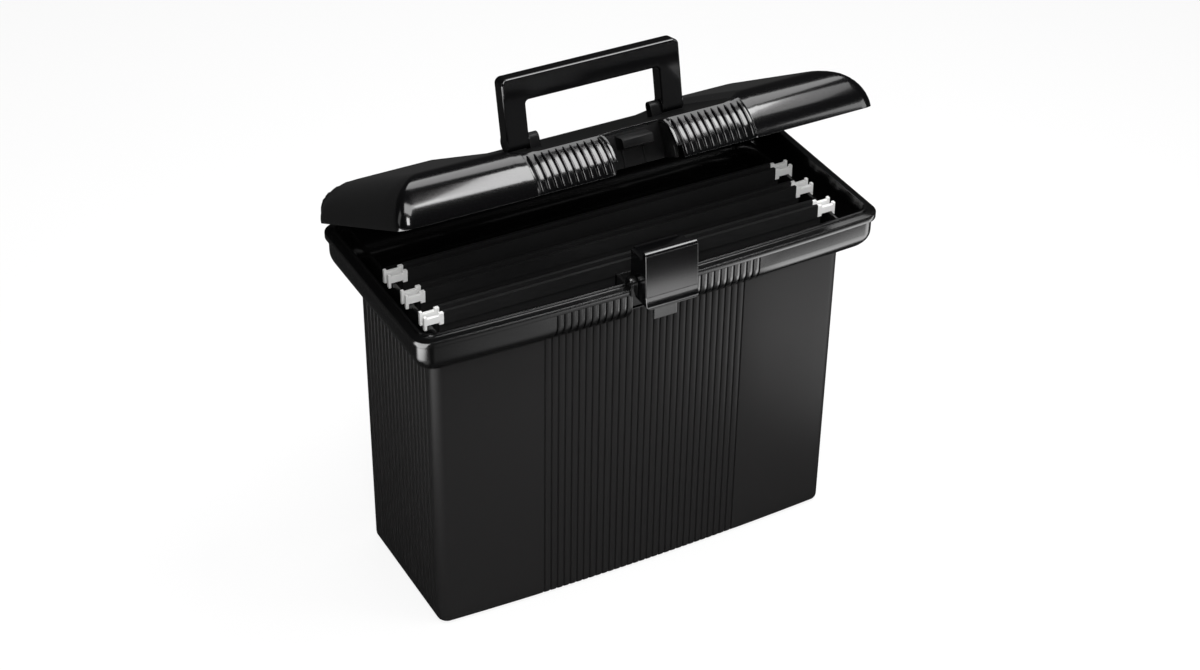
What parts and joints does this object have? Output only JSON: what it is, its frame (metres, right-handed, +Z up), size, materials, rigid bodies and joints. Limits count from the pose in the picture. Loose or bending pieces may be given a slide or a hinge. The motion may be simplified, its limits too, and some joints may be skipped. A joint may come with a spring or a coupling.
{
  "type": "portable file box",
  "caption": "Deep portable file box with a flared collar, hinged lid, fold-down carry handle, front latch and hanging folders on side rails.",
  "frame": {"origin": "Centre of the tub's flat underside, which is the face the box stands on.", "axes": "+X to the right seen from the front, +Y to the back where the lid is hinged, +Z up."},
  "size_m": [0.3594, 0.1927, 0.3801],
  "materials": {
    "tub_plastic": "satin moulded black plastic",
    "lid_plastic": "glossy moulded black plastic",
    "handle_plastic": "glossy moulded black plastic",
    "latch_plastic": "glossy moulded black plastic",
    "hinge_pin": "plain steel pin",
    "handle_pin": "black plastic pin",
    "latch_pin": "black plastic pin",
    "folder_sheet": "matte charcoal card",
    "folder_rod": "dark coated steel strip",
    "rod_tip": "white moulded plastic"
  },
  "bodies": {
    "tub": {"tub": "tub_plastic", "lid_hinge_pin_left": "hinge_pin", "lid_hinge_pin_right": "hinge_pin", "latch_pin": "latch_pin"},
    "lid": {"lid": "lid_plastic", "handle_pin_left": "handle_pin", "handle_pin_right": "handle_pin"},
    "handle": {"handle": "handle_plastic"},
    "latch": {"latch": "latch_plastic"},
    "back_folder": {"back_folder_sheet": "folder_sheet", "back_folder_front_rod": "folder_rod", "back_folder_front_tips": "rod_tip", "back_folder_back_rod": "folder_rod", "back_folder_back_tips": "rod_tip"},
    "middle_folder": {"middle_folder_sheet": "folder_sheet", "middle_folder_front_rod": "folder_rod", "middle_folder_front_tips": "rod_tip", "middle_folder_back_rod": "folder_rod", "middle_folder_back_tips": "rod_tip"},
    "front_folder": {"front_folder_sheet": "folder_sheet", "front_folder_front_rod": "folder_rod", "front_folder_front_tips": "rod_tip", "front_folder_back_rod": "folder_rod", "front_folder_back_tips": "rod_tip"}
  },
  "joints": [
    {"name": "lid_hinge", "type": "hinge", "parent": "tub", "child": "lid", "pos_m": [0, 0.087, 0.2632], "axis": [-1, 0, 0], "range_deg": [-27, 73]},
    {"name": "handle_hinge", "type": "hinge", "parent": "lid", "child": "handle", "pos_m": [0, 0.01516, 0.33366], "axis": [1, 0, 0], "range_deg": [-107, 8]},
    {"name": "latch_rocker", "type": "hinge", "parent": "tub", "child": "latch", "pos_m": [0, -0.084, 0.2665], "axis": [1, 0, 0], "range_deg": [-6, 25]},
    {"name": "back_folder_slide", "type": "slide", "parent": "tub", "child": "back_folder", "axis": [0, 1, 0], "range_m": [-0.009, 0.04]},
    {"name": "middle_folder_slide", "type": "slide", "parent": "tub", "child": "middle_folder", "axis": [0, 1, 0], "range_m": [-0.009, 0.009]},
    {"name": "front_folder_slide", "type": "slide", "parent": "tub", "child": "front_folder", "axis": [0, 1, 0], "range_m": [-0.007, 0.009]}
  ]
}
